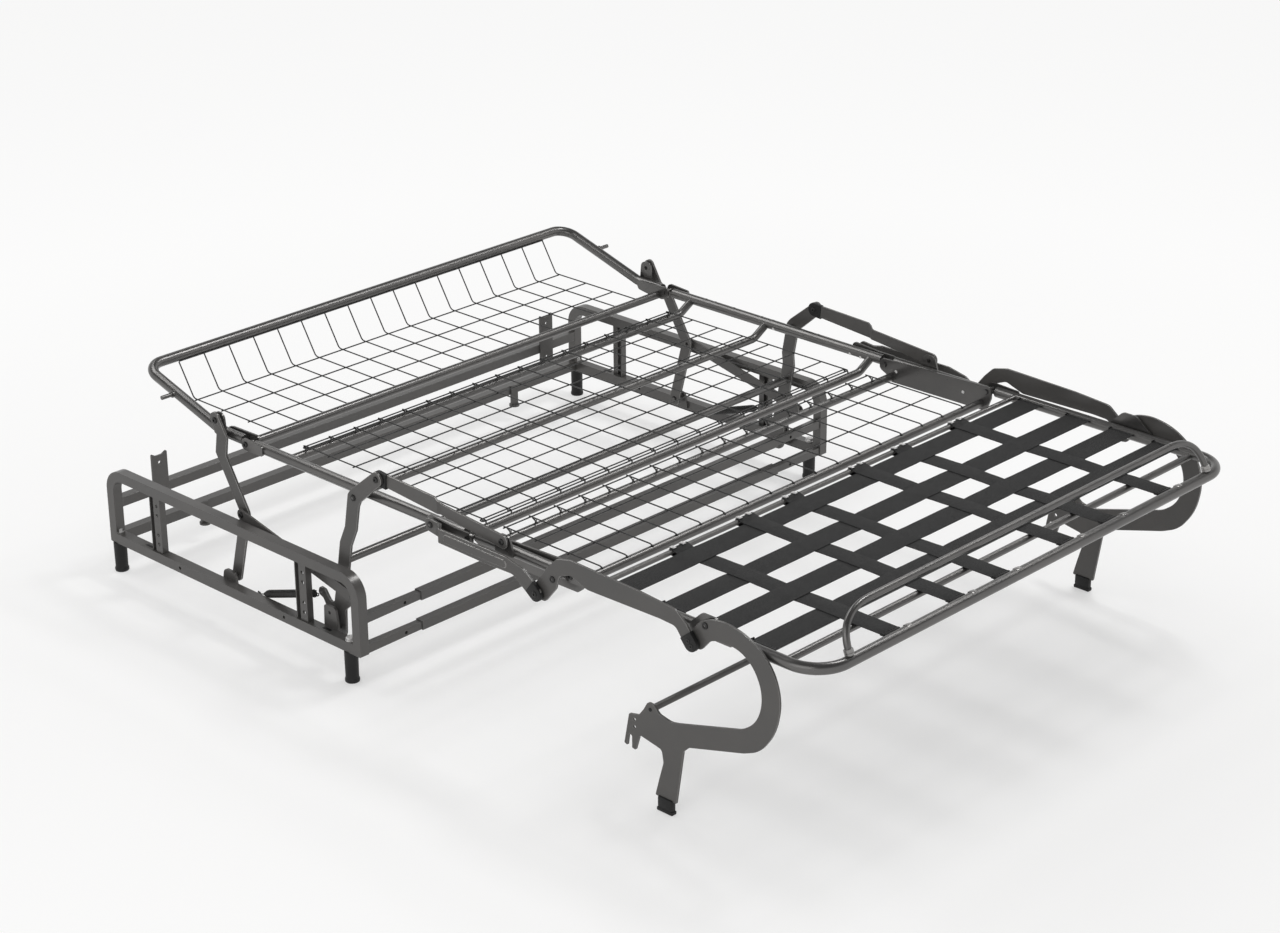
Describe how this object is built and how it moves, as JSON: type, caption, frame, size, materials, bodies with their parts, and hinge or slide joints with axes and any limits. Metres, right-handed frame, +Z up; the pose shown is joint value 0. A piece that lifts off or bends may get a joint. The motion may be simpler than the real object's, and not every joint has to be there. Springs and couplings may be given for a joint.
{
  "type": "sofa bed mechanism",
  "caption": "Folding steel sofa bed frame, opened flat: base with side frames, linked arms, wire-mesh head, seat and middle sections, strapped foot section on sickle-shaped legs.",
  "frame": {"origin": "floor level under the middle of the whole opened bed", "axes": "+X across the bed to the right as seen from the foot end, +Y towards the head end, +Z up"},
  "size_m": [1.579, 2.157, 0.5335],
  "materials": {
    "painted_steel": "satin anthracite paint",
    "mesh_wire": "satin black paint",
    "spring_steel": "black coated",
    "black_plastic": "moulded black",
    "black_webbing": "woven elastic webbing"
  },
  "bodies": {
    "base": {"side_frame_left": "painted_steel", "side_frame_right": "painted_steel", "side_bracket_front_left": "painted_steel", "side_bracket_front_right": "painted_steel", "side_bracket_rear_left": "painted_steel", "side_bracket_rear_right": "painted_steel", "leg_front_left": "black_plastic", "leg_front_right": "black_plastic", "leg_rear_left": "black_plastic", "leg_rear_right": "black_plastic", "front_bar_upper": "painted_steel", "front_bar_lower": "painted_steel", "rear_bar_upper": "painted_steel", "rear_bar_lower": "painted_steel", "rear_bracket_left": "painted_steel", "rear_bracket_right": "painted_steel"},
    "front_arms": {"front_arm_left": "painted_steel", "front_arm_right": "painted_steel", "torsion_tube": "painted_steel"},
    "rear_arms": {"rear_arm_left": "painted_steel", "rear_arm_right": "painted_steel"},
    "tie_bars": {"tie_bar_left": "painted_steel", "tie_bar_right": "painted_steel"},
    "springs": {"spring_left": "spring_steel", "spring_right": "spring_steel"},
    "upper_links": {"upper_link_left": "painted_steel", "upper_link_right": "painted_steel"},
    "lower_links": {"lower_link_left": "painted_steel", "lower_link_right": "painted_steel"},
    "levers": {"lever_left": "painted_steel", "lever_right": "painted_steel"},
    "sickle_legs": {"sickle_left": "painted_steel", "sickle_right": "painted_steel", "sickle_foot_left": "black_plastic", "sickle_foot_right": "black_plastic", "sickle_tube": "painted_steel"},
    "head_section": {"head_frame": "painted_steel", "head_mesh": "mesh_wire", "head_mesh_rise": "mesh_wire"},
    "seat_section": {"seat_frame": "painted_steel", "seat_mesh": "mesh_wire"},
    "middle_section": {"middle_frame": "painted_steel", "middle_mesh": "mesh_wire"},
    "foot_section": {"foot_frame": "painted_steel", "mattress_hoop": "painted_steel", "strap_web": "black_webbing"}
  },
  "joints": [
    {"name": "main_fold", "type": "hinge", "parent": "base", "child": "front_arms", "pos_m": [0, 0.2955, 0.0946], "axis": [-1, 0, 0], "range_deg": [0, 90]},
    {"name": "rear_arm_swing", "type": "hinge", "parent": "base", "child": "rear_arms", "pos_m": [0, 0.6556, 0.1083], "axis": [-1, 0, 0], "range_deg": [0, 55.82]},
    {"name": "seat_swing", "type": "hinge", "parent": "front_arms", "child": "seat_section", "pos_m": [0, 0.2382, 0.4231], "axis": [1, 0, 0], "range_deg": [0, 89.99]},
    {"name": "head_fold", "type": "hinge", "parent": "seat_section", "child": "head_section", "pos_m": [0, 0.6347, 0.4284], "axis": [1, 0, 0], "range_deg": [0, 85.02]},
    {"name": "middle_fold", "type": "hinge", "parent": "seat_section", "child": "middle_section", "pos_m": [0, -0.1018, 0.4238], "axis": [-1, 0, 0], "range_deg": [0, 89.97]},
    {"name": "foot_fold", "type": "hinge", "parent": "middle_section", "child": "foot_section", "pos_m": [0, -0.4095, 0.4364], "axis": [-1, 0, 0], "range_deg": [0, 90.86]},
    {"name": "sickle_swing", "type": "hinge", "parent": "foot_section", "child": "sickle_legs", "pos_m": [0, -0.7922, 0.4591], "axis": [-1, 0, 0], "range_deg": [0, 19.96]},
    {"name": "upper_link_swing", "type": "hinge", "parent": "front_arms", "child": "upper_links", "pos_m": [0, 0.1604, 0.4888], "axis": [1, 0, 0], "range_deg": [0, 79.38]},
    {"name": "lower_link_swing", "type": "hinge", "parent": "seat_section", "child": "lower_links", "pos_m": [0, -0.002, 0.4306], "axis": [-1, 0, 0], "range_deg": [0, 73]},
    {"name": "lever_swing", "type": "hinge", "parent": "middle_section", "child": "levers", "pos_m": [0, -0.3786, 0.4269], "axis": [-1, 0, 0], "range_deg": [0, 83.77]},
    {"name": "tie_swing", "type": "hinge", "parent": "front_arms", "child": "tie_bars", "pos_m": [0, 0.2343, 0.1902], "axis": [1, 0, 0], "range_deg": [0, 89.72]},
    {"name": "spring_swing", "type": "hinge", "parent": "base", "child": "springs", "pos_m": [0, 0.567, 0.09], "axis": [1, 0, 0], "range_deg": [0, 32.74]}
  ],
  "couplings": [
    {"joint": "rear_arm_swing", "follows": "main_fold", "ratio": 0.62027},
    {"joint": "seat_swing", "follows": "main_fold", "ratio": 0.99989},
    {"joint": "head_fold", "follows": "main_fold", "ratio": 0.94468},
    {"joint": "middle_fold", "follows": "main_fold", "ratio": 0.99963},
    {"joint": "foot_fold", "follows": "main_fold", "ratio": 1.0095},
    {"joint": "sickle_swing", "follows": "main_fold", "ratio": 0.22174},
    {"joint": "upper_link_swing", "follows": "main_fold", "ratio": 0.882},
    {"joint": "lower_link_swing", "follows": "main_fold", "ratio": 0.81113},
    {"joint": "lever_swing", "follows": "main_fold", "ratio": 0.93075},
    {"joint": "tie_swing", "follows": "main_fold", "ratio": 0.9969},
    {"joint": "spring_swing", "follows": "main_fold", "ratio": 0.36381}
  ]
}
